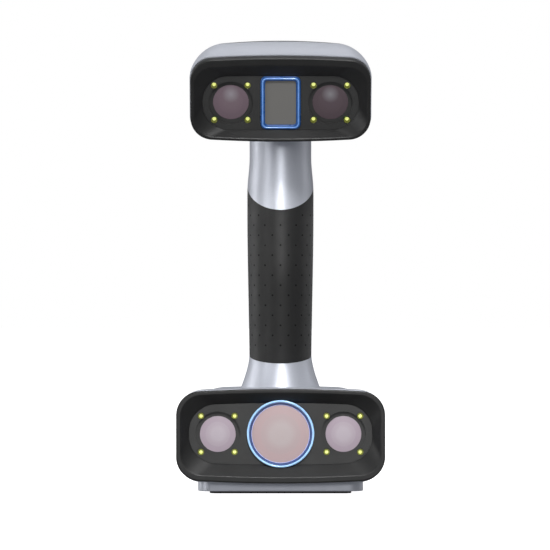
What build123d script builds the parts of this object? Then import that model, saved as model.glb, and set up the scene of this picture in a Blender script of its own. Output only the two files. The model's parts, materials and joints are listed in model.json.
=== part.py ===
"""Handheld 3-D scanner: two camera heads joined by a grip.

Millimetres, +Z up, the front faces -Y, origin at the middle of the base.
Each head has its own face plane: x to the right, y up, z out of the face.
"""

from build123d import *
from math import cos, radians, sin
import os

os.makedirs("parts", exist_ok=True)

# Driving dimensions ----------------------------------------------------------

wall = 2.2
gap = 0.15
seam = 0.36

# Face planes: place of the middle of the face, and its pitch (positive looks up)
upper_face_y = -47.6
upper_face_z = 204.2
upper_pitch = -19.0
lower_face_y = -53.7
lower_face_z = 30.7
lower_pitch = 3.0

# Bezels and the mouths of their funnels: width, height, corner radius and bow of the long sides
upper_bezel_size = (93.4, 45.2, 11.5, 1.8)
lower_bezel_size = (108.0, 48.8, 12.5, 2.0)
upper_mouth_size = (90.0, 39.8, 10.2, 1.8)
lower_mouth_size = (103.6, 43.7, 11.0, 1.8)
upper_mouth_shift = -1.2
lower_mouth_shift = 0.4
flange_depth = 5.0
funnel_depth = 4.5
rim_radius = 0.8
skirt_inset = 3.4
skirt_depth = 6.0
skirt_wall = 1.2

# Lens panels: width, height, end radius and bow of the long sides
upper_panel_size = (81.4, 29.4, 14.0, 0.2)
lower_panel_size = (95.0, 32.2, 14.4, 1.4)
panel_front = 4.5
panel_back = 8.5
panel_step = 6.5
upper_panel_shift = -2.8
lower_panel_shift = 1.2

# Camera windows, their recesses and the lights about them
upper_window_x = 25.8
lower_window_x = 32.5
window_radius = 9.3
window_thickness = 1.4
window_dome = 0.7
projector_dome = 0.8
recess_radius = 11.5
recess_depth = 1.6
led_x = 8.7
led_y = 9.3
led_hole_radius = 1.8
led_lens_height = 0.9

# Laser window with its frame, and the projector window with its ring
laser_frame_width = 20.8
laser_frame_height = 28.6
laser_glass_width = 16.2
laser_glass_height = 23.8
laser_frame_front = 4.1
ring_radius = 17.4
ring_ridge_radius = 16.0
ring_inner_radius = 15.2
ring_front = 3.1
projector_glass_front = 4.6

# Handle: an ellipse at each height, about the axis y = handle_y, and a flare at its foot
handle_y = 14.0
rubber = 2.4
bore_width = 25.0
bore_depth = 32.0
core_width = 21.0
core_depth = 26.0
core_wall = 2.0
core_bottom = 47.0
core_top = 200.0
grip_front_top = 148.4
grip_top_slope = 32.0
grip_front_bottom = 67.0
grip_bottom_slope = 11.0
handle_joint_z = 112.0
handle_foot_width = 33.1
handle_extra_depth = 7.2
handle_swell = 2.2
handle_shoulder = 2.4
flare_top = 71.0
flare_bottom = 51.0
flare_spread = 11.6
flare_foot = 5.0

# Thumb buttons in a pad on the back of the handle
pad_width = 15.2
pad_height = 45.0
pad_z = 163.0
pad_face_y = 33.0
pad_thickness = 2.0
pad_ledge = 1.2
button_pitch = 12.5
button_proud = 1.2
button_travel = 0.8
button_flange = 0.8
button_gap = 0.25
scan_radius = 4.8
side_button_width = 9.0
side_button_height = 7.0

# Base
base_width = 86.0
base_front = -40.0
base_back = 36.0
base_radius = 7.0
base_bottom = 1.4
base_top = 12.0
foot_width = 74.0
foot_depth = 64.0
foot_height = 2.0
screw_reach_x = 29.0
screw_reach_y = 24.0
screw_radius = 1.4
screw_head_radius = 2.6
screw_head_z = 2.2
screw_head_height = 1.6
screw_length = 9.0

# Fan and cable socket at the back of the lower head
fan_x = -13.5
fan_z = 27.5
fan_size = 25.0
fan_front_y = 38.0
fan_depth = 7.0
fan_bore_radius = 11.6
rotor_radius = 11.0
rotor_hub_radius = 4.5
rotor_blades = 7
pin_radius = 1.0
socket_x = 16.0
socket_z = 27.5
socket_radius = 7.0
socket_bore_radius = 4.5
socket_bore_depth = 8.0
back_y = 55.0


# Planes and outlines -----------------------------------------------------------


def face_plane(y, z, pitch):
    """The plane across a head: its normal points forward, pitched up by pitch degrees."""
    normal = (0, -cos(radians(pitch)), sin(radians(pitch)))
    return Plane(origin=(0, y, z), x_dir=(1, 0, 0), z_dir=normal)


def raised(plane, up):
    """The same plane, moved up along its own y."""
    return Plane(plane.origin + plane.y_dir * up, x_dir=plane.x_dir, z_dir=plane.z_dir)


def bowed_outline(plane, width, height, radius, bow):
    """A rounded rectangle whose long sides bow outwards."""
    side = height / 2 - bow
    with BuildSketch(plane) as outline:
        with BuildLine():
            ThreePointArc((-width / 2, side), (0, height / 2), (width / 2, side))
            Line((width / 2, side), (width / 2, -side))
            ThreePointArc((width / 2, -side), (0, -height / 2), (-width / 2, -side))
            Line((-width / 2, -side), (-width / 2, side))
        make_face()
        fillet(outline.vertices(), radius)
    return outline.sketch


def inset_outline(plane, size, inset):
    """A head's outline, drawn in by inset all round."""
    width, height, radius, bow = size
    return bowed_outline(plane, width - 2 * inset, height - 2 * inset,
                         max(radius - inset, 1.0), bow)


def head_solid(sections, inset=0.0, trim=0.0, back_radius=0.0):
    """A head's smooth body through its sections; trim draws the last section forward."""
    outlines = []
    for index, (plane, *size) in enumerate(sections):
        last = index == len(sections) - 1
        outlines.append(inset_outline(plane.offset(trim) if last else plane, size, inset))
    with BuildPart() as head:
        loft(outlines)
        if back_radius:
            fillet(head.faces().sort_by(Axis.Y)[-1].edges(), back_radius)
    return head.part


def handle_solid(sections, inset=0.0):
    """The handle's smooth body through an ellipse at each height."""
    outlines = []
    for height, width, depth in sections:
        with BuildSketch(Plane((0, handle_y, height))) as ellipse:
            Ellipse(width / 2 - inset, depth / 2 - inset)
        outlines.append(ellipse.sketch)
    with BuildPart() as handle:
        loft(outlines)
    return handle.part


def finish(builder, label):
    """Name a piece and write it."""
    builder.part.label = label
    export_step(builder.part, f"parts/{label}.step")


upper_face = face_plane(upper_face_y, upper_face_z, upper_pitch)
lower_face = face_plane(lower_face_y, lower_face_z, lower_pitch)
upper_panel_face = raised(upper_face, upper_panel_shift)
lower_panel_face = raised(lower_face, lower_panel_shift)
upper_mouth_face = raised(upper_face, upper_mouth_shift)
lower_mouth_face = raised(lower_face, lower_mouth_shift)

# Sections of the two heads, front to back: plane, width, height, radius, bow
upper_sections = [
    (upper_face.offset(-flange_depth), 94.2, 46.2, 12.0, 1.8),
    (upper_face.offset(-15), 93.6, 46.9, 13.0, 1.9),
    (upper_face.offset(-28), 90.0, 46.6, 14.5, 2.4),
    (face_plane(6, 214.1, -8), 82.0, 44.4, 16.0, 3.6),
    (face_plane(30, 211.6, 4), 68.0, 39.0, 15.0, 3.0),
    (face_plane(45, 209.6, 10), 54.0, 29.0, 12.0, 2.0),
]
lower_sections = [
    (lower_face.offset(-flange_depth), 107.6, 49.4, 13.0, 1.7),
    (face_plane(-22, 30.3, 2), 104.0, 48.8, 15.0, 1.6),
    (face_plane(14, 30.0, 0), 95.0, 48.4, 16.0, 1.2),
    (face_plane(42, 29.6, 0), 84.0, 47.0, 15.0, 1.2),
    (face_plane(back_y, 28.8, 0), 74.0, 41.0, 13.0, 1.2),
]


def smooth_step(value, start, end):
    """Rise smoothly from 0 at start to 1 at end."""
    share = min(max((value - start) / (end - start), 0.0), 1.0)
    return share * share * (3 - 2 * share)


def handle_width(z):
    """The handle swells slowly to its shoulder, then narrows into the neck."""
    swell = handle_swell * smooth_step(z, 62, 147)
    shoulder = handle_shoulder * smooth_step(z, 158, 176)
    return handle_foot_width + swell - shoulder


def flare_width(z):
    """The flare opens out below flare_top, faster towards the lower head."""
    drop = max(flare_top - z, 0.0) / (flare_top - flare_bottom)
    return handle_foot_width + flare_spread * drop ** 1.5


def handle_levels(low, pitch, count, width_at):
    """Sections at even heights: height, width and depth."""
    levels = [low + pitch * i for i in range(count)]
    return [(z, width_at(z), width_at(z) + handle_extra_depth) for z in levels]


handle_sections = handle_levels(54.0, 6.0, 26, handle_width)
flare_sections = handle_levels(flare_bottom, 3.0, 10, flare_width)

upper_envelope = head_solid(upper_sections, back_radius=5.0)
upper_cavity = head_solid(upper_sections, wall, wall)
lower_envelope = head_solid(lower_sections, back_radius=5.0)
lower_cavity = head_solid(lower_sections, wall, wall)
handle_body = handle_solid(handle_sections)
handle_liner = handle_solid(handle_sections, rubber)
flare_curve = handle_solid(flare_sections)


def parting_plane(y_top, z_top, y_bottom, z_bottom):
    """The joint between a front shell and its rear cover; its normal points to the back."""
    run = Vector(0, y_bottom - y_top, z_bottom - z_top)
    return Plane(origin=(0, y_top, z_top), x_dir=(1, 0, 0), z_dir=run.cross(Vector(-1, 0, 0)))


upper_parting = parting_plane(-27, 237, 40, 191)
lower_parting = parting_plane(45, 56, 30, 4)

# Heads: shells and rear covers ---------------------------------------------------

core_plane = Plane((0, handle_y, 0))


def core_prism(extra, low, high):
    """The room that the handle's core tube takes, between two heights."""
    with BuildPart() as prism:
        with BuildSketch(core_plane.offset(low)):
            Ellipse(core_width / 2 + extra, core_depth / 2 + extra)
        extrude(amount=high - low)
    return prism.part


core_room = core_prism(gap, 30, 215)

base_middle = (base_front + base_back) / 2
screw_places = [(i * screw_reach_x, base_middle + j * screw_reach_y)
                for i in (-1, 1) for j in (-1, 1)]


def screw_room(extra):
    """Four base screws, or with extra the holes that they pass through."""
    with BuildPart() as room:
        with BuildSketch(Plane.XY.offset(screw_head_z - extra)):
            with Locations(*screw_places):
                Circle(screw_head_radius + extra)
        extrude(amount=screw_head_height + extra)
        with BuildSketch(Plane.XY.offset(screw_head_z)):
            with Locations(*screw_places):
                Circle(screw_radius + extra)
        extrude(amount=screw_length)
    return room


with BuildPart() as upper_shell:
    add(upper_envelope)
    add(upper_cavity, mode=Mode.SUBTRACT)
    add(core_room, mode=Mode.SUBTRACT)
    split(bisect_by=upper_parting.offset(-seam / 2), keep=Keep.BOTTOM)
finish(upper_shell, "upper_shell")

with BuildPart() as lower_shell:
    add(lower_envelope)
    add(lower_cavity, mode=Mode.SUBTRACT)
    add(core_room, mode=Mode.SUBTRACT)
    add(screw_room(gap).part, mode=Mode.SUBTRACT)
    split(bisect_by=lower_parting.offset(-seam / 2), keep=Keep.BOTTOM)
finish(lower_shell, "lower_shell")

upper_vent_plane = Plane((0, 12, 245))
with BuildPart() as upper_rear_cover:
    add(upper_envelope)
    add(upper_cavity, mode=Mode.SUBTRACT)
    split(bisect_by=upper_parting.offset(seam / 2), keep=Keep.TOP)
    with BuildSketch(upper_vent_plane):
        with GridLocations(0, 5.0, 1, 5):
            SlotOverall(44, 1.8)
    extrude(amount=-20, mode=Mode.SUBTRACT)
finish(upper_rear_cover, "upper_rear_cover")

back_plane = Plane(origin=(0, back_y, 0), x_dir=(1, 0, 0), z_dir=(0, -1, 0))
with BuildPart() as lower_rear_cover:
    add(lower_envelope)
    add(lower_cavity, mode=Mode.SUBTRACT)
    split(bisect_by=lower_parting.offset(seam / 2), keep=Keep.TOP)
    with BuildSketch(back_plane.offset(-1)):
        with Locations((fan_x, fan_z)):
            with GridLocations(0, 3.2, 1, 6):
                SlotOverall(20, 1.6)
    extrude(amount=4 + wall, mode=Mode.SUBTRACT)
    with BuildSketch(back_plane.offset(-1)):
        with Locations((socket_x, socket_z)):
            Circle(socket_radius - 1.5 + gap)
    extrude(amount=4 + wall, mode=Mode.SUBTRACT)
finish(lower_rear_cover, "lower_rear_cover")


# Bezels -------------------------------------------------------------------------


def make_bezel(face, mouth_face, panel_face, size, mouth_size, panel_size):
    """A black frame: a flange before the shell, a funnel down to the panel, a skirt inside."""
    along = Axis(face.origin, face.z_dir)
    with BuildPart() as bezel:
        extrude(inset_outline(face, size, 0), amount=-flange_depth)
        extrude(inset_outline(face.offset(-flange_depth), size, skirt_inset),
                amount=flange_depth - panel_step - skirt_depth)
        extrude(inset_outline(face.offset(-panel_step), size, skirt_inset + skirt_wall),
                amount=-skirt_depth, mode=Mode.SUBTRACT)
        loft([inset_outline(mouth_face, mouth_size, 0),
              inset_outline(panel_face.offset(-funnel_depth), panel_size, 0)],
             mode=Mode.SUBTRACT)
        extrude(inset_outline(panel_face.offset(-funnel_depth), panel_size, 0),
                amount=funnel_depth - panel_step, mode=Mode.SUBTRACT)
        fillet(bezel.faces().sort_by(along)[-1].edges(), rim_radius)
    return bezel


upper_bezel = make_bezel(upper_face, upper_mouth_face, upper_panel_face,
                         upper_bezel_size, upper_mouth_size, upper_panel_size)
finish(upper_bezel, "upper_bezel")

with BuildPart() as lower_bezel:
    add(make_bezel(lower_face, lower_mouth_face, lower_panel_face,
                   lower_bezel_size, lower_mouth_size, lower_panel_size).part)
    with BuildSketch(lower_panel_face):
        Circle(ring_radius + gap)
    extrude(amount=-panel_step, mode=Mode.SUBTRACT)
finish(lower_bezel, "lower_bezel")


# Lens panels, windows and lights ---------------------------------------------------


def led_places(window_x):
    """The four lights about one window."""
    return [(window_x + i * led_x, j * led_y) for i in (-1, 1) for j in (-1, 1)]


def panel_blank(face, size, window_x, bezel_face, bezel_size):
    """A lens panel with its window seats and light holes; a wider step sits behind the bezel."""
    windows = [(-window_x, 0), (window_x, 0)]
    with BuildPart() as panel:
        extrude(inset_outline(face.offset(-panel_front), size, gap),
                amount=panel_front - panel_step)
        extrude(inset_outline(bezel_face.offset(-panel_step), bezel_size,
                              skirt_inset + skirt_wall + gap), amount=panel_step - panel_back)
        with BuildSketch(face.offset(-panel_front)):
            with Locations(*windows):
                Circle(recess_radius)
        extrude(amount=-recess_depth, mode=Mode.SUBTRACT)
        with BuildSketch(face.offset(-panel_front)):
            with Locations(*windows):
                Circle(window_radius)
        extrude(amount=-(recess_depth + window_thickness), mode=Mode.SUBTRACT)
        with BuildSketch(face.offset(-panel_front)):
            with Locations(*windows):
                Circle(window_radius - 1.2)
            with Locations(*led_places(-window_x), *led_places(window_x)):
                Circle(led_hole_radius)
        extrude(amount=panel_front - panel_back, mode=Mode.SUBTRACT)
    return panel


with BuildPart() as upper_lens_panel:
    add(panel_blank(upper_panel_face, upper_panel_size, upper_window_x,
                    upper_face, upper_bezel_size).part)
    with BuildSketch(upper_panel_face.offset(-panel_front)):
        RectangleRounded(laser_frame_width + 2 * gap, laser_frame_height + 2 * gap, 3.0 + gap)
    extrude(amount=panel_front - panel_back, mode=Mode.SUBTRACT)
finish(upper_lens_panel, "upper_lens_panel")

with BuildPart() as lower_lens_panel:
    add(panel_blank(lower_panel_face, lower_panel_size, lower_window_x,
                    lower_face, lower_bezel_size).part)
    with BuildSketch(lower_panel_face.offset(-panel_front)):
        Circle(ring_radius + gap)
    extrude(amount=panel_front - panel_back, mode=Mode.SUBTRACT)
finish(lower_lens_panel, "lower_lens_panel")


def domed_glass(face, x, front, radius, dome, thickness):
    """A disc of glass with a gently domed front, at x on its face."""
    axis_point = face.origin + face.x_dir * x
    sphere_radius = (radius ** 2 + dome ** 2) / (2 * dome)
    middle_x = radius / 2
    middle_y = dome - sphere_radius + (sphere_radius ** 2 - middle_x ** 2) ** 0.5
    with BuildPart() as glass:
        with BuildSketch(Plane(axis_point, x_dir=(1, 0, 0), z_dir=-face.y_dir)):
            with BuildLine():
                ThreePointArc((0, dome - front), (middle_x, middle_y - front), (radius, -front))
                Line((radius, -front), (radius, -front - thickness))
                Line((radius, -front - thickness), (0, -front - thickness))
                Line((0, -front - thickness), (0, dome - front))
            make_face()
        revolve(axis=Axis(axis_point, face.z_dir))
    return glass


window_front = panel_front + recess_depth
barrel_radius = 7.2
barrel_front = 8.9
barrel_back = 19.0
camera_back = 25.0
camera_size = 21.0
lens_radius = 5.4

heads = (
    ("upper", upper_panel_face, upper_window_x, upper_face, upper_bezel_size),
    ("lower", lower_panel_face, lower_window_x, lower_face, lower_bezel_size),
)
for head, face, window_x, bezel_face, bezel_size in heads:
    for side, x in (("left", -window_x), ("right", window_x)):
        window = domed_glass(face, x, window_front, window_radius - 0.05, window_dome,
                             window_thickness)
        finish(window, f"{head}_{side}_window")

        with BuildPart() as camera:
            with BuildSketch(face.offset(-barrel_front)):
                with Locations((x, 0)):
                    Circle(barrel_radius)
            extrude(amount=barrel_front - barrel_back)
            with BuildSketch(face.offset(-barrel_back)):
                with Locations((x, 0)):
                    RectangleRounded(camera_size, camera_size, 2)
            extrude(amount=barrel_back - camera_back)
            with BuildSketch(face.offset(-barrel_front)):
                with Locations((x, 0)):
                    Circle(lens_radius)
            extrude(amount=-2, mode=Mode.SUBTRACT)
        finish(camera, f"{head}_{side}_camera")

        with BuildPart() as led_lenses:
            with BuildSketch(face.offset(-panel_back)):
                with Locations(*led_places(x)):
                    Circle(led_hole_radius - 0.1)
            extrude(amount=led_lens_height)
            fillet(led_lenses.faces().group_by(Axis(face.origin, face.z_dir))[-1].edges(), 0.5)
        finish(led_lenses, f"{head}_{side}_led_lenses")

    with BuildPart() as camera_lenses:
        with BuildSketch(face.offset(-barrel_front - 0.6)):
            with Locations((-window_x, 0), (window_x, 0)):
                Circle(lens_radius - 0.05)
        extrude(amount=-1.4)
    finish(camera_lenses, f"{head}_camera_lenses")

    with BuildPart() as led_boards:
        with BuildSketch(face.offset(-panel_back)):
            with Locations((-window_x, 0), (window_x, 0)):
                Circle(14.8)
                Circle(window_radius - 0.6, mode=Mode.SUBTRACT)
        extrude(amount=-1.0)
        extrude(inset_outline(bezel_face.offset(-panel_back), bezel_size,
                              skirt_inset + skirt_wall + gap), amount=-1.0, mode=Mode.INTERSECT)
    finish(led_boards, f"{head}_led_boards")

with BuildPart() as laser_window_frame:
    with BuildSketch(upper_panel_face.offset(-laser_frame_front)):
        RectangleRounded(laser_frame_width, laser_frame_height, 3.0)
    extrude(amount=laser_frame_front - panel_back)
    with BuildSketch(upper_panel_face.offset(-laser_frame_front)):
        RectangleRounded(laser_glass_width, laser_glass_height, 1.6)
    extrude(amount=laser_frame_front - 6.9, mode=Mode.SUBTRACT)
    with BuildSketch(upper_panel_face.offset(-laser_frame_front)):
        RectangleRounded(laser_glass_width - 2, laser_glass_height - 2, 1.0)
    extrude(amount=laser_frame_front - panel_back, mode=Mode.SUBTRACT)
    front_face = laser_window_frame.faces().sort_by(Axis(upper_face.origin, upper_face.z_dir))[-1]
    chamfer(front_face.edges(), 0.45)
finish(laser_window_frame, "laser_window_frame")

with BuildPart() as laser_window:
    with BuildSketch(upper_panel_face.offset(-5.4)):
        RectangleRounded(laser_glass_width - 0.1, laser_glass_height - 0.1, 1.55)
    extrude(amount=-1.5)
finish(laser_window, "laser_window")

with BuildPart() as laser_module:
    with BuildSketch(upper_panel_face.offset(-panel_back - 0.3)):
        RectangleRounded(19.0, 26.0, 1.5)
    extrude(amount=-16)
    with BuildSketch(upper_panel_face.offset(-panel_back - 0.3)):
        with GridLocations(0, 8.0, 1, 3):
            Circle(2.4)
    extrude(amount=-3, mode=Mode.SUBTRACT)
finish(laser_module, "laser_module")


def about_projector(points):
    """Turn a profile, radius and depth behind the face, about the projector's axis."""
    section = Plane(lower_panel_face.origin, x_dir=(1, 0, 0), z_dir=-lower_panel_face.y_dir)
    with BuildPart() as turned:
        with BuildSketch(section):
            with BuildLine():
                Polyline(*[(radius, -depth) for radius, depth in points], close=True)
            make_face()
        revolve(axis=Axis(lower_panel_face.origin, lower_panel_face.z_dir))
    return turned


projector_ring = about_projector([
    (ring_radius, ring_front + 0.5),
    (ring_radius - 0.5, ring_front),
    (ring_ridge_radius, ring_front),
    (ring_inner_radius, projector_glass_front),
    (ring_inner_radius, projector_glass_front + 2.0),
    (ring_inner_radius - 1.0, projector_glass_front + 2.0),
    (ring_inner_radius - 1.0, panel_back),
    (ring_radius, panel_back),
])
finish(projector_ring, "projector_ring")

projector_window = domed_glass(lower_panel_face, 0, projector_glass_front,
                               ring_inner_radius - 0.05, projector_dome, 2.0)
finish(projector_window, "projector_window")

projector_barrel_radius = 13.5
projector_barrel_front = 8.0
projector_barrel_back = 30.0
with BuildPart() as projector_lens:
    with BuildSketch(lower_panel_face.offset(-projector_barrel_front)):
        Circle(projector_barrel_radius)
    extrude(amount=projector_barrel_front - projector_barrel_back)
    with BuildSketch(lower_panel_face.offset(-projector_barrel_front)):
        Circle(projector_barrel_radius - 2)
    extrude(amount=-3, mode=Mode.SUBTRACT)
finish(projector_lens, "projector_lens")

engine_width = 40.0
engine_height = 24.0
engine_back = 60.0
with BuildPart() as projector_engine:
    with BuildSketch(lower_panel_face.offset(-projector_barrel_back)):
        RectangleRounded(engine_width, engine_height, 2)
    extrude(amount=projector_barrel_back - engine_back)
finish(projector_engine, "projector_engine")

fin_count = 8
with BuildPart() as heatsink:
    with BuildSketch(lower_panel_face.offset(-engine_back)):
        Rectangle(engine_width, engine_height)
    extrude(amount=-2)
    with BuildSketch(lower_panel_face.offset(-engine_back - 2)):
        with GridLocations(5.0, 0, fin_count, 1):
            Rectangle(1.4, engine_height)
    extrude(amount=-12)
finish(heatsink, "heatsink")

# Brackets and boards inside the heads ------------------------------------------------

bracket_thickness = 2.0
with BuildPart() as upper_bracket:
    with BuildSketch(upper_panel_face.offset(-camera_back)):
        Rectangle(74, 26)
    extrude(amount=-bracket_thickness)
    with BuildSketch(Plane.XY.offset(core_top)):
        with Locations((0, 4.0)):
            Rectangle(24, 60)
    extrude(amount=bracket_thickness)
    split(bisect_by=upper_panel_face.offset(-camera_back), keep=Keep.BOTTOM)
finish(upper_bracket, "upper_bracket")

with BuildPart() as upper_board:
    with BuildSketch(Plane.XY.offset(core_top + 6)):
        with Locations((0, 12)):
            RectangleRounded(52, 36, 2)
    extrude(amount=1.6)
    with BuildSketch(Plane.XY.offset(core_top + 7.6)):
        with Locations((-10, 12), (12, 12)):
            Rectangle(14, 14)
    extrude(amount=1.6)
finish(upper_board, "upper_board")

with BuildPart() as lower_bracket:
    with BuildSketch(Plane.XY.offset(core_bottom - bracket_thickness)):
        with Locations((0, 8)):
            RectangleRounded(60, 44, 3)
    extrude(amount=bracket_thickness)
finish(lower_bracket, "lower_bracket")

with BuildPart() as lower_camera_plate:
    with BuildSketch(lower_panel_face.offset(-camera_back)):
        RectangleRounded(86, 32, 3)
        Circle(projector_barrel_radius + 0.6, mode=Mode.SUBTRACT)
    extrude(amount=-bracket_thickness)
finish(lower_camera_plate, "lower_camera_plate")

with BuildPart() as main_board:
    with BuildSketch(Plane.XY.offset(11.5)):
        with Locations((0, -3)):
            RectangleRounded(68, 60, 3)
    extrude(amount=1.6)
finish(main_board, "main_board")

# Handle ------------------------------------------------------------------------------

grip_top = Plane(origin=(0, handle_y - 21, grip_front_top), x_dir=(1, 0, 0),
                 z_dir=(0, -sin(radians(grip_top_slope)), cos(radians(grip_top_slope))))
grip_bottom = Plane(origin=(0, handle_y - 20.4, grip_front_bottom), x_dir=(1, 0, 0),
                    z_dir=(0, -sin(radians(grip_bottom_slope)), cos(radians(grip_bottom_slope))))
handle_joint = Plane.XY.offset(handle_joint_z)
pad_plane = Plane(origin=(0, pad_face_y, pad_z), x_dir=(-1, 0, 0), z_dir=(0, 1, 0))


def pad_room(extra, front, back):
    """A stadium-shaped room about the button pad, from one depth behind its face to another."""
    with BuildPart() as room:
        with BuildSketch(pad_plane.offset(-back)):
            SlotOverall(pad_height + 2 * extra, pad_width + 2 * extra, rotation=90)
        extrude(amount=back - front)
    return room.part


pad_seat = pad_room(gap, -8, pad_thickness)
pad_throat = pad_room(-pad_ledge, 0, 8)


def bore_prism(low, high):
    """The hollow through the handle's shells."""
    with BuildPart() as prism:
        with BuildSketch(core_plane.offset(low)):
            Ellipse(bore_width / 2, bore_depth / 2)
        extrude(amount=high - low)
    return prism.part


handle_bore = bore_prism(40, 215)

with BuildPart() as grip_sleeve:
    add(handle_body)
    split(bisect_by=grip_top, keep=Keep.BOTTOM)
    split(bisect_by=grip_bottom, keep=Keep.TOP)
    add(handle_liner, mode=Mode.SUBTRACT)
    add(pad_seat, mode=Mode.SUBTRACT)
finish(grip_sleeve, "grip_sleeve")

with BuildPart() as neck_collar:
    add(handle_body)
    split(bisect_by=grip_top, keep=Keep.TOP)

with BuildPart() as neck_shell:
    add(handle_liner)
    split(bisect_by=handle_joint, keep=Keep.TOP)
    add(neck_collar.part)
    add(handle_bore, mode=Mode.SUBTRACT)
    add(upper_envelope, mode=Mode.SUBTRACT)
    split(bisect_by=Plane.XY.offset(upper_face_z), keep=Keep.BOTTOM)
    add(pad_seat, mode=Mode.SUBTRACT)
    add(pad_throat, mode=Mode.SUBTRACT)
finish(neck_shell, "neck_shell")

with BuildPart() as flare_collar:
    add(flare_curve)
    split(bisect_by=grip_bottom, keep=Keep.BOTTOM)
    extrude(flare_collar.faces().sort_by(Axis.Z)[0], amount=flare_foot)

with BuildPart() as lower_neck:
    add(handle_liner)
    split(bisect_by=handle_joint, keep=Keep.BOTTOM)
    add(flare_collar.part)
    add(handle_bore, mode=Mode.SUBTRACT)
    add(lower_envelope, mode=Mode.SUBTRACT)
finish(lower_neck, "lower_neck")

with BuildPart() as handle_core:
    with BuildSketch(core_plane.offset(core_bottom)):
        Ellipse(core_width / 2, core_depth / 2)
        Ellipse(core_width / 2 - core_wall, core_depth / 2 - core_wall, mode=Mode.SUBTRACT)
    extrude(amount=core_top - core_bottom)
finish(handle_core, "handle_core")

with BuildPart() as wire_harness:
    with BuildSketch(core_plane.offset(core_bottom + 1)):
        RectangleRounded(10, 5, 2)
    extrude(amount=core_top - core_bottom - 2)
finish(wire_harness, "wire_harness")

# Buttons -------------------------------------------------------------------------------

button_ys = {"minus": -button_pitch, "scan": 0.0, "plus": button_pitch}
light_y = pad_height / 2 - 3.4
light_radius = 1.1


def button_sketch(name, plane, grow):
    """A button's outline: the scan button is round, the others are rounded rectangles."""
    with BuildSketch(plane) as outline:
        with Locations((0, button_ys[name])):
            if name == "scan":
                Circle(scan_radius + grow)
            else:
                RectangleRounded(side_button_width + 2 * grow, side_button_height + 2 * grow,
                                 2.0 + grow)
    return outline.sketch


with BuildPart() as button_pad:
    with BuildSketch(pad_plane.offset(-pad_thickness)):
        SlotOverall(pad_height, pad_width, rotation=90)
    extrude(amount=pad_thickness)
    for name in button_ys:
        extrude(button_sketch(name, pad_plane, button_gap), amount=-pad_thickness,
                mode=Mode.SUBTRACT)
    with BuildSketch(pad_plane):
        with Locations((0, light_y)):
            Circle(light_radius + 0.02)
    extrude(amount=-pad_thickness, mode=Mode.SUBTRACT)
finish(button_pad, "button_pad")

flange_front = pad_thickness + 0.1
for name in button_ys:
    with BuildPart() as button:
        extrude(button_sketch(name, pad_plane.offset(button_proud), 0),
                amount=-(button_proud + flange_front))
        fillet(button.faces().sort_by(Axis.Y)[-1].edges(), 0.5)
        extrude(button_sketch(name, pad_plane.offset(-flange_front), 0.9), amount=-button_flange)
    finish(button, f"{name}_button")

with BuildPart() as status_light:
    with BuildSketch(pad_plane.offset(0.3)):
        with Locations((0, light_y)):
            Circle(light_radius)
    extrude(amount=-(pad_thickness + 0.3))
    fillet(status_light.faces().sort_by(Axis.Y)[-1].edges(), 0.25)
finish(status_light, "status_light")

switch_top = flange_front + button_flange + button_travel + 0.1
board_front = switch_top + 0.7
with BuildPart() as button_board:
    with BuildSketch(pad_plane.offset(-board_front - 1.0)):
        SlotOverall(pad_height - 2 * pad_ledge - 0.6, pad_width - 2 * pad_ledge - 0.6, rotation=90)
    extrude(amount=1.0)
    with BuildSketch(pad_plane.offset(-board_front)):
        with Locations(*[(0, y) for y in button_ys.values()]):
            Rectangle(4.0, 4.0)
    extrude(amount=board_front - switch_top)
finish(button_board, "button_board")

# Base ------------------------------------------------------------------------------------

base_screws = screw_room(0)
finish(base_screws, "base_screws")

with BuildPart() as base_plate:
    with BuildSketch(Plane.XY.offset(base_bottom)):
        with Locations((0, base_middle)):
            RectangleRounded(base_width, base_back - base_front, base_radius)
    extrude(amount=base_top - base_bottom)
    fillet(base_plate.faces().sort_by(Axis.Z)[0].edges(), 0.5)
    add(lower_envelope, mode=Mode.SUBTRACT)
    with BuildSketch(Plane.XY):
        with Locations((0, base_middle)):
            RectangleRounded(foot_width + 2 * gap, foot_depth + 2 * gap, 4)
    extrude(amount=foot_height, mode=Mode.SUBTRACT)
    add(screw_room(gap).part, mode=Mode.SUBTRACT)
finish(base_plate, "base_plate")

with BuildPart() as rubber_foot:
    with BuildSketch(Plane.XY):
        with Locations((0, base_middle)):
            RectangleRounded(foot_width, foot_depth, 4)
    extrude(amount=foot_height)
    fillet(rubber_foot.faces().sort_by(Axis.Z)[0].edges(), 0.4)
finish(rubber_foot, "rubber_foot")

# Fan and cable socket -----------------------------------------------------------------------

fan_plane = Plane(origin=(fan_x, fan_front_y, fan_z), x_dir=(1, 0, 0), z_dir=(0, -1, 0))

with BuildPart() as fan_frame:
    with BuildSketch(fan_plane):
        RectangleRounded(fan_size, fan_size, 2)
        Circle(fan_bore_radius, mode=Mode.SUBTRACT)
    extrude(amount=-fan_depth)
    with BuildSketch(fan_plane):
        Circle(rotor_hub_radius)
        with PolarLocations(0, 3, start_angle=30):
            Rectangle(fan_bore_radius + 0.4, 1.6, align=(Align.MIN, Align.CENTER))
    extrude(amount=-1.0)
    with BuildSketch(fan_plane):
        Circle(pin_radius)
    extrude(amount=-fan_depth + 0.5)
finish(fan_frame, "fan_frame")

with BuildPart() as fan_rotor:
    with BuildSketch(fan_plane.offset(-1.5)):
        Circle(rotor_hub_radius)
    extrude(amount=-(fan_depth - 2))
    with BuildSketch(fan_plane.offset(-1.8)):
        with PolarLocations(0, rotor_blades):
            Rectangle(rotor_radius, 0.9, align=(Align.MIN, Align.CENTER))
    extrude(amount=-(fan_depth - 2.8))
    with BuildSketch(fan_plane):
        Circle(pin_radius + 0.05)
    extrude(amount=-fan_depth, mode=Mode.SUBTRACT)
finish(fan_rotor, "fan_rotor")

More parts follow.
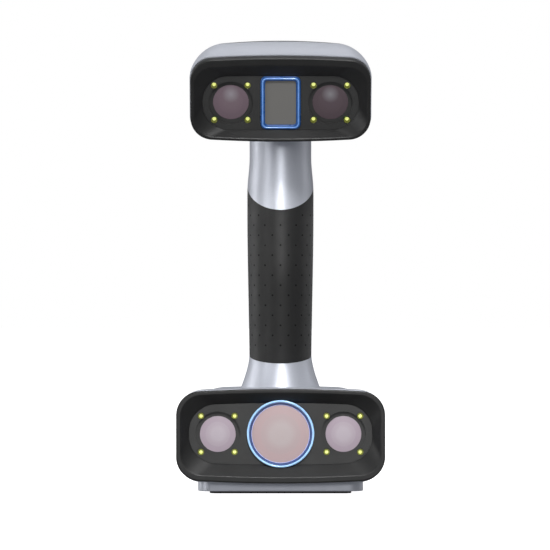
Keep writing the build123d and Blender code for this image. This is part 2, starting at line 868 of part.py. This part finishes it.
socket_plane = Plane(origin=(socket_x, back_y, socket_z), x_dir=(-1, 0, 0), z_dir=(0, 1, 0))
with BuildPart() as cable_socket:
    with BuildSketch(socket_plane.offset(-0.4)):
        Circle(socket_radius - 1.5)
    extrude(amount=-13)
    with BuildSketch(socket_plane.offset(-wall)):
        Circle(socket_radius)
    extrude(amount=-1.5)
    with BuildSketch(socket_plane.offset(-0.4)):
        Circle(socket_bore_radius)
    extrude(amount=-socket_bore_depth, mode=Mode.SUBTRACT)
finish(cable_socket, "cable_socket")
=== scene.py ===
"""The looks of the handheld scanner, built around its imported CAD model. Metres, +Z up."""

import json
import math

import bmesh
import bpy
from mathutils import Matrix, Vector


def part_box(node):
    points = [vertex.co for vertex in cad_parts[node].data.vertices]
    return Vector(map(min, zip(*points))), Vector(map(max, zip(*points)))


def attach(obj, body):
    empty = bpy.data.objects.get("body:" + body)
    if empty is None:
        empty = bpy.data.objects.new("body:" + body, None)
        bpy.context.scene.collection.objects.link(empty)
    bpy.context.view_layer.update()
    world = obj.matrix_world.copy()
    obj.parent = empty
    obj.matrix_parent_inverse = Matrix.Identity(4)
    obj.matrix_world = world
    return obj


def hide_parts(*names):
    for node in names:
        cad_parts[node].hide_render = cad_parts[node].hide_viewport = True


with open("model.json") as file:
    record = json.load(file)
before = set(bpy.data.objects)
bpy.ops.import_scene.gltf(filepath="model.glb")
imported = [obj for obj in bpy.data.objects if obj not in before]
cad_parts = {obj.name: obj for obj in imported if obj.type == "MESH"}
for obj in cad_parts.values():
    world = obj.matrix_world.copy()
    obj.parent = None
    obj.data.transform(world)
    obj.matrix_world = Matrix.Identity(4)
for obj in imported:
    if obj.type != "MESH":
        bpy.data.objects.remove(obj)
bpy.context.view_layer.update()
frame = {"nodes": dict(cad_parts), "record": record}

MM = 0.001
SHARP_ANGLE = math.radians(42)
scene = bpy.context.scene


# Camera, light and floor ---------------------------------------------------------

CAMERA_DISTANCE = 2.0
CAMERA_HEIGHT = 0.1138
CAMERA_SIDE = -0.0029
SENSOR_WIDTH = 36.0  # in millimetres, like the focal length
FOCAL_LENGTH = 247.0
LAMP_TARGET = (0, 0, 0.13)
NECK_TARGET = (0.004, 0, 0.145)
FLOOR_HALF = 6.0


def set_up(name, data, place, target):
    """Put a lamp or camera at a place, looking at a point."""
    thing = bpy.data.objects.new(name, data)
    scene.collection.objects.link(thing)
    thing.location = place
    direction = Vector(target) - thing.location
    thing.rotation_mode = "QUATERNION"
    thing.rotation_quaternion = direction.to_track_quat("-Z", "Y")
    return thing


def add_camera():
    """A level camera in front of the object, near half its height."""
    data = bpy.data.cameras.new("camera")
    data.sensor_width = SENSOR_WIDTH
    data.lens = FOCAL_LENGTH
    data.clip_start = 0.05
    data.clip_end = 50.0
    place = (CAMERA_SIDE, -CAMERA_DISTANCE, CAMERA_HEIGHT)
    scene.camera = set_up("camera", data, place, (CAMERA_SIDE, 0, CAMERA_HEIGHT))


def add_softbox(name, place, size, watts):
    """A rectangular studio lamp, turned to the object's middle."""
    data = bpy.data.lights.new(name, "AREA")
    data.shape = "RECTANGLE"
    data.size, data.size_y = size
    data.energy = watts
    set_up(name, data, place, LAMP_TARGET)


def add_snoot(name, place, target, degrees, radius, watts):
    """A narrow lamp with a soft edge; radius is the size of its own bulb."""
    data = bpy.data.lights.new(name, "SPOT")
    data.spot_size = math.radians(degrees)
    data.spot_blend = 1.0
    data.shadow_soft_size = radius
    data.energy = watts
    set_up(name, data, place, target)


def add_world(strength, backdrop):
    """Soft grey light from all round; the camera sees a white backdrop in its place."""
    world = bpy.data.worlds.new("studio")
    world.use_nodes = True
    scene.world = world
    nodes, links = world.node_tree.nodes, world.node_tree.links
    nodes.clear()
    output = nodes.new("ShaderNodeOutputWorld")
    mix = nodes.new("ShaderNodeMixShader")
    path = nodes.new("ShaderNodeLightPath")
    light = nodes.new("ShaderNodeBackground")
    seen = nodes.new("ShaderNodeBackground")
    light.inputs["Color"].default_value = (0.95, 0.965, 1.0, 1)
    light.inputs["Strength"].default_value = strength
    seen.inputs["Color"].default_value = (1, 1, 1, 1)
    seen.inputs["Strength"].default_value = backdrop
    links.new(path.outputs["Is Camera Ray"], mix.inputs["Fac"])
    links.new(light.outputs["Background"], mix.inputs[1])
    links.new(seen.outputs["Background"], mix.inputs[2])
    links.new(mix.outputs["Shader"], output.inputs["Surface"])


# Materials -------------------------------------------------------------------------


class Shader:
    """A material whose Principled shader is fed by small node networks."""

    def __init__(self, name):
        self.material = bpy.data.materials.new(name)
        self.material.use_nodes = True
        self.tree = self.material.node_tree
        self.principled = self.tree.nodes["Principled BSDF"]
        self.coordinates = self.node("ShaderNodeTexCoord").outputs["Object"]

    def node(self, kind, **settings):
        made = self.tree.nodes.new(kind)
        for key, value in settings.items():
            setattr(made, key, value)
        return made

    def link(self, source, target):
        self.tree.links.new(source, target)

    def set(self, **values):
        """Uniform values, written on the shader's own sockets."""
        for key, value in values.items():
            self.principled.inputs[key.replace("_", " ")].default_value = value

    def noise(self, size, detail=3.0, roughness=0.5):
        """Noise whose features are about size metres across."""
        noise = self.node("ShaderNodeTexNoise")
        noise.inputs["Scale"].default_value = 1.0 / size
        noise.inputs["Detail"].default_value = detail
        noise.inputs["Roughness"].default_value = roughness
        self.link(self.coordinates, noise.inputs["Vector"])
        return noise.outputs["Fac"]

    def cells(self, size):
        """Voronoi cells about size metres across."""
        cells = self.node("ShaderNodeTexVoronoi")
        cells.inputs["Scale"].default_value = 1.0 / size
        self.link(self.coordinates, cells.inputs["Vector"])
        return cells.outputs["Distance"]

    def span(self, source, low, high, to_low, to_high):
        """Map a range of a value onto another range."""
        mapped = self.node("ShaderNodeMapRange")
        for key, value in (("From Min", low), ("From Max", high), ("To Min", to_low),
                           ("To Max", to_high)):
            mapped.inputs[key].default_value = value
        self.link(source, mapped.inputs["Value"])
        return mapped.outputs["Result"]

    def ramp(self, source, stops):
        """Colours along a value: a list of (place, colour)."""
        ramp = self.node("ShaderNodeValToRGB")
        elements = ramp.color_ramp.elements
        while len(elements) < len(stops):
            elements.new(0.5)
        for element, (place, colour) in zip(elements, stops):
            element.position = place
            element.color = (*colour, 1)
        self.link(source, ramp.inputs["Fac"])
        return ramp.outputs["Color"]

    def mix(self, factor, first, second):
        """Blend two colours, each a socket or a plain colour."""
        mixed = self.node("ShaderNodeMix", data_type="RGBA")
        for value, socket in ((factor, mixed.inputs["Factor"]), (first, mixed.inputs["A"]),
                              (second, mixed.inputs["B"])):
            self._feed(value, socket)
        return mixed.outputs["Result"]

    def _feed(self, value, socket):
        """Link a socket, or set a plain colour or number."""
        if isinstance(value, bpy.types.NodeSocket):
            self.link(value, socket)
        elif isinstance(value, tuple):
            socket.default_value = (*value, 1)
        else:
            socket.default_value = value

    def colour(self, source):
        self.link(source, self.principled.inputs["Base Color"])

    def roughness(self, source):
        self.link(source, self.principled.inputs["Roughness"])

    def bump(self, height, depth):
        """Raise the surface by a 0 to 1 height, depth metres at most, on top of earlier bumps."""
        bump = self.node("ShaderNodeBump")
        bump.inputs["Strength"].default_value = 1.0
        bump.inputs["Distance"].default_value = depth
        self.link(height, bump.inputs["Height"])
        previous = self.principled.inputs["Normal"].links
        if previous:
            self.link(previous[0].from_socket, bump.inputs["Normal"])
        self.link(bump.outputs["Normal"], self.principled.inputs["Normal"])

    def radial(self, up=0.0):
        """Distance over a disc or plate seen along y, 1 from its middle to its edge; up raises
        the point that it is measured from."""
        own = self.node("ShaderNodeTexCoord").outputs["Generated"]
        centred = self.node("ShaderNodeVectorMath", operation="MULTIPLY_ADD")
        centred.inputs[1].default_value = (2, 0, 2)
        centred.inputs[2].default_value = (-1, 0, -1 - up)
        self.link(own, centred.inputs[0])
        length = self.node("ShaderNodeVectorMath", operation="LENGTH")
        self.link(centred.outputs["Vector"], length.inputs[0])
        return length.outputs["Value"]


def silver_paint():
    """Satin silver paint: fine flake, slight orange peel, faint handling marks."""
    s = Shader("silver_paint")
    s.set(Metallic=0.55, Coat_Weight=0.08, Coat_Roughness=0.35)
    flake = s.noise(0.00016, 2.0)
    cloud = s.noise(0.03, 4.0)
    base = s.ramp(flake, [(0.3, (0.47, 0.49, 0.545)), (0.7, (0.58, 0.60, 0.66))])
    s.colour(s.mix(s.span(cloud, 0.35, 0.7, 0.0, 0.18), base, (0.48, 0.50, 0.55)))
    marks = s.noise(0.004, 6.0, 0.65)
    s.roughness(s.span(marks, 0.3, 0.75, 0.42, 0.52))
    s.bump(flake, 0.000004)
    s.bump(s.noise(0.0009, 2.0), 0.000006)
    return s.material


def moulded(name, base, low, high, grain, depth, specular):
    """Moulded plastic or rubber with a fine spark-eroded grain of a size and depth in metres."""
    s = Shader(name)
    s.set(Specular_IOR_Level=specular)
    lighter = tuple(c * 1.35 + 0.002 for c in base)
    s.colour(s.ramp(s.noise(0.018, 5.0, 0.6), [(0.3, base), (0.75, lighter)]))
    s.roughness(s.span(s.noise(0.006, 6.0, 0.7), 0.3, 0.75, low, high))
    s.bump(s.noise(grain, 3.0, 0.6), depth)
    return s.material


def window_coating(name, inner, ring, edge, glow, painted_highlight):
    """Coated optical glass with tones in rings; its glow is painted light, and the last argument
    sets how strong a painted highlight, a pale spot above the middle, is.
    """
    s = Shader(name)
    s.set(Roughness=0.45, Coat_Weight=0.12, Coat_Roughness=0.3, Specular_IOR_Level=0.35)
    # The glass glows though it is no lamp: painted light that brightens it
    s.set(Emission_Strength=glow)
    distance = s.radial()
    tone = s.ramp(distance, [(0.0, inner), (0.34, inner), (0.56, ring), (0.64, ring),
                             (0.72, edge), (1.0, edge)])
    haze = s.noise(0.004, 4.0)
    coloured = s.mix(s.span(haze, 0.3, 0.7, 0.0, 0.2), tone, ring)
    # A painted highlight: a pale grey spot above the middle, standing in for a reflection of the
    # lamps
    if painted_highlight:
        highlight_spot = s.span(s.radial(up=0.42), 0.0, 0.5, painted_highlight, 0.0)
        coloured = s.mix(highlight_spot, coloured, (0.30, 0.31, 0.33))
    s.colour(coloured)
    s.link(coloured, s.principled.inputs["Emission Color"])
    s.bump(s.noise(0.0008, 2.0), 0.0000008)
    return s.material


def glossy_plastic(name, base, low, high, glow):
    """Glossy coloured plastic; glow lets a light guide shine a little, and on the blue trim and the
    lilac rim of the projector's glass it is painted light.
    """
    s = Shader(name)
    s.set(Coat_Weight=0.6, Coat_Roughness=0.08, Emission_Strength=glow)
    cloud = s.noise(0.006, 4.0)
    lighter = tuple(min(1.0, c * 1.2 + 0.01) for c in base)
    tone = s.ramp(cloud, [(0.3, base), (0.75, lighter)])
    s.colour(tone)
    s.link(tone, s.principled.inputs["Emission Color"])
    s.roughness(s.span(s.noise(0.002, 5.0), 0.3, 0.7, low, high))
    s.bump(s.noise(0.0006, 2.0), 0.000002)
    return s.material


def grip_rubber():
    """Soft-touch rubber: fine matte grain, faint shine where it is held."""
    s = Shader("grip_rubber")
    s.set(Specular_IOR_Level=0.33, Sheen_Weight=0.06, Sheen_Roughness=0.5)
    cloud = s.noise(0.02, 5.0, 0.6)
    s.colour(s.ramp(cloud, [(0.3, (0.0095, 0.0095, 0.0095)), (0.75, (0.0145, 0.0143, 0.0141))]))
    s.roughness(s.span(s.noise(0.012, 6.0, 0.7), 0.3, 0.7, 0.46, 0.58))
    s.bump(s.noise(0.00035, 3.0, 0.7), 0.00001)
    return s.material


def lit_lens(name, dark, bright, glow):
    """Moulded plastic that shines a little, for a light point's dome and cup; the dome's shine is
    its own light, the cup's is painted light from the dome.
    """
    s = Shader(name)
    s.set(Roughness=0.25, Emission_Strength=glow)
    speck = s.noise(0.0007, 3.0)
    tone = s.ramp(speck, [(0.3, dark), (0.7, bright)])
    s.colour(tone)
    s.link(tone, s.principled.inputs["Emission Color"])
    s.bump(s.noise(0.0003, 2.0), 0.000004)
    return s.material


def metal(name, base, low, high):
    """Machined or plated metal; low and high are the ends of its roughness."""
    s = Shader(name)
    s.set(Metallic=1.0)
    lighter = tuple(min(1.0, c * 1.2) for c in base)
    s.colour(s.ramp(s.noise(0.01, 4.0), [(0.3, base), (0.75, lighter)]))
    s.roughness(s.span(s.noise(0.002, 6.0, 0.7), 0.3, 0.7, low, high))
    s.bump(s.noise(0.0004, 3.0), 0.000004)
    return s.material


def circuit_board():
    """Green solder mask with faint copper runs."""
    s = Shader("circuit_board")
    s.set(Coat_Weight=0.3, Coat_Roughness=0.2)
    runs = s.span(s.cells(0.0016), 0.30, 0.34, 0.0, 1.0)
    s.colour(s.mix(runs, (0.012, 0.075, 0.032), (0.022, 0.13, 0.055)))
    s.roughness(s.span(s.noise(0.001, 4.0), 0.3, 0.7, 0.3, 0.45))
    s.bump(runs, 0.00002)
    return s.material


def pale_floor():
    """A white floor with a glow of its own, which covers any shadow on it."""
    s = Shader("pale_floor")
    s.set(Emission_Strength=1.1)
    tone = s.ramp(s.noise(0.4, 3.0), [(0.3, (0.93, 0.93, 0.93)), (0.7, (0.95, 0.95, 0.95))])
    s.colour(tone)
    s.link(tone, s.principled.inputs["Emission Color"])
    s.roughness(s.span(s.noise(0.1, 4.0), 0.3, 0.7, 0.6, 0.7))
    return s.material


# Moulded plastics and rubbers: colour, roughness from and to, grain size and depth, specular level
MOULDED = {
    "graphite_plastic": ((0.030, 0.030, 0.031), 0.42, 0.55, 0.0005, 0.00002, 0.5),
    "black_plastic": ((0.011, 0.011, 0.011), 0.38, 0.48, 0.0003, 0.000005, 0.34),
    "panel_plastic": ((0.020, 0.020, 0.0195), 0.46, 0.56, 0.0003, 0.000005, 0.5),
    "foot_rubber": ((0.03, 0.028, 0.03), 0.6, 0.75, 0.0006, 0.00003, 0.3),
    "pad_plastic": ((0.012, 0.012, 0.013), 0.2, 0.3, 0.0004, 0.000004, 0.6),
    "button_plastic": ((0.10, 0.104, 0.112), 0.35, 0.45, 0.0004, 0.00001, 0.5),
    "harness_jacket": ((0.02, 0.02, 0.02), 0.5, 0.7, 0.0008, 0.0001, 0.5),
    "fan_plastic": ((0.015, 0.015, 0.016), 0.35, 0.5, 0.0005, 0.00001, 0.5),
    "white_ink": ((0.52, 0.53, 0.55), 0.4, 0.5, 0.0003, 0.000004, 0.5),
    # The dimples' rubber is darker than the grip's: painted shade in the dimples
    "dimple_painted_shade": ((0.0045, 0.0045, 0.0045), 0.65, 0.75, 0.0003, 0.000004, 0.12),
}

# Glossy plastics: colour, roughness from and to, glow
GLOSSY = {
    # The blue trim's glow and the lilac rim's glow are painted light
    "blue_trim": ((0.008, 0.062, 0.225), 0.26, 0.36, 0.05),
    "scan_button_plastic": ((0.05, 0.17, 0.46), 0.3, 0.4, 0.0),
    "status_lens": ((0.62, 0.78, 0.86), 0.25, 0.35, 0.3),
    "light_blue_guide": ((0.34, 0.58, 0.93), 0.22, 0.32, 0.32),
    "mid_blue_guide": ((0.10, 0.23, 0.54), 0.22, 0.32, 0.25),
    "lilac_rim": ((0.40, 0.44, 0.74), 0.25, 0.35, 0.25),
}

# Coated glass: the tones in its middle, in its ring and at its edge, glow, and the strength of a
# painted highlight spot; the glass glows though it is no lamp, as painted light
COATED = {
    "window_glass": ((0.42, 0.37, 0.41), (0.38, 0.32, 0.365), (0.35, 0.285, 0.335), 0.16, 0.0),
    "projector_glass": ((0.44, 0.38, 0.38), (0.42, 0.33, 0.335), (0.44, 0.325, 0.33), 0.14, 0.0),
    "laser_glass": ((0.125, 0.122, 0.115), (0.125, 0.122, 0.115), (0.125, 0.122, 0.115), 0.2, 0.0),
    "lens_glass": ((0.03, 0.02, 0.06), (0.02, 0.03, 0.05), (0.01, 0.01, 0.02), 0.0, 0.0),
    # The upper windows: the lower windows' glass painted darker as painted shade, the left lighter
    # than the right as a painted reflection, each with a painted highlight spot
    "upper_left_painted_light_glass": ((0.125, 0.092, 0.108), (0.12, 0.086, 0.103), (0.112, 0.08, 0.097),
                         0.22, 0.42),
    "upper_right_painted_light_glass": ((0.070, 0.051, 0.060), (0.068, 0.049, 0.057), (0.063, 0.045, 0.053),
                          0.2, 0.4),
}

# Light points: the darker and the brighter tone, glow; the dome's glow is its own light, the
# reflector cup's glow is painted light from the dome
LIT = {
    "led_lens": ((0.80, 0.86, 0.16), (0.95, 1.0, 0.42), 0.8),
    "led_reflector": ((0.040, 0.043, 0.002), (0.075, 0.078, 0.005), 0.02),
}

# Metals: colour, roughness from and to
METALS = {
    "camera_metal": ((0.03, 0.03, 0.032), 0.3, 0.45),
    "bare_aluminium": ((0.62, 0.63, 0.65), 0.3, 0.42),
    "socket_metal": ((0.60, 0.58, 0.55), 0.18, 0.28),
    "screw_steel": ((0.42, 0.42, 0.44), 0.25, 0.4),
}

MATERIALS = {
    "silver_plastic": silver_paint(),
    "grip_rubber": grip_rubber(),
    "circuit_board": circuit_board(),
}
for make_material, finishes in ((moulded, MOULDED), (glossy_plastic, GLOSSY),
                                (window_coating, COATED), (lit_lens, LIT), (metal, METALS)):
    for material_name, finish in finishes.items():
        MATERIALS[material_name] = make_material(material_name, *finish)


def dress_nodes():
    """Give each CAD node the material of its slot."""
    for part in frame["record"]["subparts"]:
        node = frame["nodes"][part["node"]]
        for slot in node.material_slots:
            slot.material = MATERIALS[part["material_slot"]]


def add_floor():
    """A wide floor that throws no light on the object and isn't mirrored in it."""
    mesh = bpy.data.meshes.new("floor")
    corners = [(x * FLOOR_HALF, y * FLOOR_HALF, 0) for x, y in ((-1, -1), (1, -1), (1, 1), (-1, 1))]
    mesh.from_pydata(corners, [], [(0, 1, 2, 3)])
    floor = bpy.data.objects.new("floor", mesh)
    scene.collection.objects.link(floor)
    mesh.materials.append(pale_floor())
    floor.visible_diffuse = False
    floor.visible_glossy = False


# Mesh helpers --------------------------------------------------------------------------


def middle(node):
    """The middle of a CAD node's box."""
    low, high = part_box(node)
    return (Vector(low) + Vector(high)) / 2


def face_axes(pitch):
    """Axes of a head's face: x to the right, y up, z outwards, pitched up by pitch degrees."""
    angle = math.radians(pitch)
    right = Vector((1, 0, 0))
    outward = Vector((0, -math.cos(angle), math.sin(angle)))
    up = outward.cross(right)
    return Matrix((right, up, outward)).transposed()


def placed(axes, origin, x=0.0, y=0.0, z=0.0):
    """A transform to axes at origin, moved along those axes by millimetres."""
    return Matrix.Translation(origin + axes @ (Vector((x, y, z)) * MM)) @ axes.to_4x4()


def make_piece(name, bm, material, body, slot, *replaced):
    """Turn a bmesh into a smooth-shaded piece that rides on a body and may replace CAD nodes."""
    bmesh.ops.remove_doubles(bm, verts=bm.verts, dist=1e-7)
    bmesh.ops.recalc_face_normals(bm, faces=bm.faces)
    mesh = bpy.data.meshes.new(name)
    bm.to_mesh(mesh)
    bm.free()
    mesh.shade_smooth()
    mesh.set_sharp_from_angle(angle=SHARP_ANGLE)
    mesh.materials.append(material)
    piece = bpy.data.objects.new(name, mesh)
    scene.collection.objects.link(piece)
    if replaced:
        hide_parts(*replaced)
    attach(piece, body)


def bridge(bm, lower, upper):
    """Faces between two closed rings of as many points each."""
    for step in range(len(lower)):
        after = (step + 1) % len(lower)
        bm.faces.new((lower[step], lower[after], upper[after], upper[step]))


def add_turned(bm, place, profile, steps):
    """A profile of (radius, height) in millimetres, turned about z; it closes at radius 0."""
    rings = []
    for radius, height in profile:
        ring = []
        for step in range(steps):
            turn = 2 * math.pi * step / steps
            point = Vector((radius * math.cos(turn), radius * math.sin(turn), height)) * MM
            ring.append(bm.verts.new(place @ point))
        rings.append(ring)
    for lower, upper in zip(rings, rings[1:]):
        bridge(bm, lower, upper)


def rounded_loop(width, height, radius, steps=12):
    """Points and outward directions round a rounded rectangle, in millimetres."""
    loop = []
    for corner, (side, rise) in enumerate(((1, 1), (-1, 1), (-1, -1), (1, -1))):
        centre = Vector((side * (width / 2 - radius), rise * (height / 2 - radius), 0))
        for step in range(steps + 1):
            turn = math.pi / 2 * (corner + step / steps)
            outward = Vector((math.cos(turn), math.sin(turn), 0))
            loop.append((centre + outward * radius, outward))
    return loop


def add_swept(bm, place, loop, section):
    """A closed section of (outward, up) millimetres, carried round a loop."""
    rings = []
    for point, outward in loop:
        ring = [bm.verts.new(place @ ((point + outward * out + Vector((0, 0, up))) * MM))
                for out, up in section]
        rings.append(ring)
    for index, ring in enumerate(rings):
        bridge(bm, ring, rings[(index + 1) % len(rings)])


def round_section(radius, steps=14):
    """A round section for add_swept."""
    return [(radius * math.cos(2 * math.pi * step / steps),
             radius * math.sin(2 * math.pi * step / steps)) for step in range(steps)]


def bead_profile(middle_radius, half_width, height, steps=10):
    """A rounded ridge to turn about an axis, from its inner foot over to its outer foot."""
    return [(middle_radius - half_width * math.cos(math.pi * step / steps),
             height * math.sin(math.pi * step / steps)) for step in range(steps + 1)]


# Pieces ---------------------------------------------------------------------------------

# Lengths are in millimetres, and heights go outwards from the node that a piece is placed by

UPPER_AXES = face_axes(-19)
LOWER_AXES = face_axes(3)
BACK_AXES = Matrix(((-1, 0, 0), (0, 0, 1), (0, 1, 0)))

# Light points: their places round a window, the cup's outline, and the dome in the cup
LED_X = 8.7
LED_Y = 9.3
LED_PLACES = [(i * LED_X, j * LED_Y) for i in (-1, 1) for j in (-1, 1)]
LED_STEPS = 24
CUP_PROFILE = [(1.74, 2.9), (1.74, 3.35), (1.68, 3.43), (1.56, 3.36), (1.34, 2.3), (1.08, 1.2),
               (0.94, 0.7)]
DOME_RADIUS = 0.92
DOME_FOOT = 0.6
DOME_SHOULDER = 1.2
DOME_RISE = 0.9
DOME_STEPS = 8

# Round windows: radius, height of the edge, rise of the dome, thickness at the edge
CAMERA_GLASS = (9.25, 1.95, 0.7, 1.4)
PROJECTOR_GLASS = (15.15, 1.2, 0.8, 2.0)
GLASS_STEPS = 16
GLASS_TURNS = 96

# Light guides: width, height and corner of the frame's; radius, half width and rise of a ring's
FRAME_BEAD = (18.6, 26.4, 2.3)
FRAME_BEAD_RADIUS = 0.44
FRAME_BEAD_HEIGHT = 2.06
RING_BEAD = (16.86, 0.52, 0.6)
RING_BEAD_HEIGHT = 2.6
RIM_BEAD = (14.96, 0.2, 0.3)
RIM_BEAD_HEIGHT = 1.05
RING_STEPS = 144

# Marks on the buttons: length, width and rise of a bar; radius, half width and rise of the ring.
# Their feet are sunk into the button, and BAR_SOFT is the part of a bar's rise that is bevelled
MARK_BAR = (3.6, 0.7, 0.12)
MARK_RING = (2.6, 0.35, 0.16)
MARK_STEPS = 64
BAR_FOOT = 0.05
BAR_SOFT = 0.4
RING_FOOT = 0.02

# The grip's dimples: outline, rows round and up the grip, the first row's place in pitches, and
# how far they stay from its ends
DIMPLE_PROFILE = [(0.56, -0.05), (0.50, 0.035), (0.42, 0.04), (0.28, 0.02), (0.0, 0.012)]
DIMPLE_STEPS = 14
DIMPLE_COLUMNS = 30
DIMPLE_ROWS = 10
DIMPLE_PITCH = 10.6
DIMPLE_FIRST = 0.9
DIMPLE_MARGIN = 4

# The grip's skin is found from GRIP_REACH off its axis, no deeper than GRIP_DEPTH, where the
# skin faces outwards by at least GRIP_FACING
GRIP_REACH = 50
GRIP_DEPTH = 36
GRIP_FACING = 0.7


def add_lights():
    """Round each window, four reflector cups and the domes that shine in them."""
    quarter = [step * math.pi / 2 / DOME_STEPS for step in range(DOME_STEPS + 1)]
    dome = [(DOME_RADIUS, DOME_FOOT)]
    dome += [(DOME_RADIUS * math.cos(turn), DOME_SHOULDER + DOME_RISE * math.sin(turn))
             for turn in quarter]
    for head, axes in (("upper", UPPER_AXES), ("lower", LOWER_AXES)):
        for side in ("left", "right"):
            node = f"{head}_{side}_led_lenses"
            origin = middle(node)
            for name, profile, material, replaced in (
                    (f"{head}_{side}_led_cups", CUP_PROFILE, "led_reflector", ()),
                    (f"{head}_{side}_led_domes", dome, "led_lens", (node,))):
                bm = bmesh.new()
                for x, y in LED_PLACES:
                    add_turned(bm, placed(axes, origin, x, y), profile, LED_STEPS)
                make_piece(name, bm, MATERIALS[material], "body", "led_lens", *replaced)


def add_glass(node, origin, axes, size, material, slot):
    """A round window with a gently domed front, in place of a CAD window."""
    radius, edge, dome, thickness = size
    sphere = (radius ** 2 + dome ** 2) / (2 * dome)
    profile = [(0.0, edge - thickness), (radius, edge - thickness)]
    for step in range(GLASS_STEPS + 1):
        out = radius * (1 - step / GLASS_STEPS)
        profile.append((out, edge + dome - sphere + math.sqrt(sphere ** 2 - out ** 2)))
    bm = bmesh.new()
    add_turned(bm, placed(axes, origin), profile, GLASS_TURNS)
    make_piece(f"{node}_glass", bm, MATERIALS[material], "body", slot, node)


def add_windows():
    """The camera windows and the projector's window."""
    # The upper windows' glass carries painted shade, a painted reflection and a painted highlight
    # spot
    for head, axes, glasses in (
            ("upper", UPPER_AXES, ("upper_left_painted_light_glass", "upper_right_painted_light_glass")),
            ("lower", LOWER_AXES, ("window_glass", "window_glass"))):
        for side, glass in zip(("left", "right"), glasses):
            add_glass(f"{head}_{side}_window", middle(f"{head}_{side}_led_lenses"), axes,
                      CAMERA_GLASS, glass, "window_glass")
    add_glass("projector_window", middle("projector_ring"), LOWER_AXES, PROJECTOR_GLASS,
              "projector_glass", "projector_glass")


def add_frame_bead():
    """The raised light guide that runs round the laser window's frame."""
    place = placed(UPPER_AXES, middle("laser_window"), z=FRAME_BEAD_HEIGHT)
    bm = bmesh.new()
    add_swept(bm, place, rounded_loop(*FRAME_BEAD), round_section(FRAME_BEAD_RADIUS))
    make_piece("laser_frame_bead", bm, MATERIALS["mid_blue_guide"], "body", "blue_trim")


def add_ring_beads():
    """The projector ring's bright guide, and the rim of its glass."""
    origin = middle("projector_ring")
    for name, bead, height, material in (
            ("projector_ring_bead", RING_BEAD, RING_BEAD_HEIGHT, "light_blue_guide"),
            ("projector_glass_rim", RIM_BEAD, RIM_BEAD_HEIGHT, "lilac_rim")):
        bm = bmesh.new()
        add_turned(bm, placed(LOWER_AXES, origin, z=height), bead_profile(*bead), RING_STEPS)
        make_piece(name, bm, MATERIALS[material], "body", "blue_trim")


def add_bar(bm, place, length, width, height):
    """A flat bar with round ends and a softened top."""
    loop = rounded_loop(length, width, width / 2 - 0.01, 8)
    layers = [(0.0, -BAR_FOOT), (0.0, height * (1 - BAR_SOFT)), (-height * BAR_SOFT, height)]
    rings = [[bm.verts.new(place @ ((point + outward * out + Vector((0, 0, up))) * MM))
              for point, outward in loop] for out, up in layers]
    for lower, upper in zip(rings, rings[1:]):
        bridge(bm, lower, upper)
    bm.faces.new(rings[-1])


def button_front(button):
    """The middle of a thumb button's outer face, at the back of the object."""
    front = middle(button)
    front.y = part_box(button)[1][1]
    return front


def add_button_marks():
    """A minus, a plus and a ring on the three thumb buttons."""
    for name, turns in (("minus", (0,)), ("plus", (0, 90))):
        bm = bmesh.new()
        place = placed(BACK_AXES, button_front(f"{name}_button"))
        for turn in turns:
            add_bar(bm, place @ Matrix.Rotation(math.radians(turn), 4, "Z"), *MARK_BAR)
        make_piece(f"{name}_mark", bm, MATERIALS["white_ink"], f"{name}_button", "button_plastic")
    bm = bmesh.new()
    place = placed(BACK_AXES, button_front("scan_button"), z=-RING_FOOT)
    add_turned(bm, place, bead_profile(*MARK_RING), MARK_STEPS)
    make_piece("scan_mark", bm, MATERIALS["white_ink"], "scan_button", "scan_button_plastic")


def add_grip_dimples():
    """Small dimples in the grip's rubber, in staggered columns, clear of its ends."""
    sleeve = frame["nodes"]["grip_sleeve"]
    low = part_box("grip_sleeve")[0]
    axis = middle("grip_sleeve")
    pitch = DIMPLE_PITCH * MM
    margin = DIMPLE_MARGIN * MM
    reach = GRIP_REACH * MM
    bm = bmesh.new()
    for column in range(DIMPLE_COLUMNS):
        turn = 2 * math.pi * (column + 0.5) / DIMPLE_COLUMNS
        outward = Vector((math.cos(turn), math.sin(turn), 0))
        for row in range(DIMPLE_ROWS):
            height = low[2] + (row + DIMPLE_FIRST + 0.5 * (column % 2)) * pitch
            hits = []
            for shift in (-margin, margin, 0):
                start = Vector((axis.x, axis.y, height + shift)) + outward * reach
                found, spot, normal, _ = sleeve.ray_cast(start, -outward)
                near = (spot - start).length < GRIP_DEPTH * MM
                hits.append(found and near and normal.dot(outward) > GRIP_FACING)
            if all(hits):
                turned = normal.to_track_quat("Z", "Y").to_matrix().to_4x4()
                add_turned(bm, Matrix.Translation(spot) @ turned, DIMPLE_PROFILE, DIMPLE_STEPS)
    # The dimples' dark rubber is painted shade
    make_piece("grip_dimples", bm, MATERIALS["dimple_painted_shade"], "body", "grip_rubber")


add_camera()
add_world(strength=0.26, backdrop=1.0)
add_softbox("key", (0.14, -1.15, 1.05), (0.26, 0.26), 17)
add_softbox("front", (0.06, -1.9, 0.32), (0.16, 0.2), 3.5)
add_snoot("snoot", (0.03, -1.6, 0.20), NECK_TARGET, 0.8, 0.03, 300)
add_softbox("fill", (-1.2, -0.8, 0.3), (0.4, 0.9), 4.5)
add_softbox("strip_left", (-0.9, 0.35, 0.3), (0.2, 0.9), 3)
add_softbox("strip_right", (1.0, 0.4, 0.3), (0.2, 0.9), 0.8)
add_softbox("top", (0, 0.1, 1.3), (0.9, 0.6), 5)
add_floor()
scene.view_settings.view_transform = "Standard"

dress_nodes()
add_windows()
add_lights()
add_frame_bead()
add_ring_beads()
add_button_marks()
add_grip_dimples()
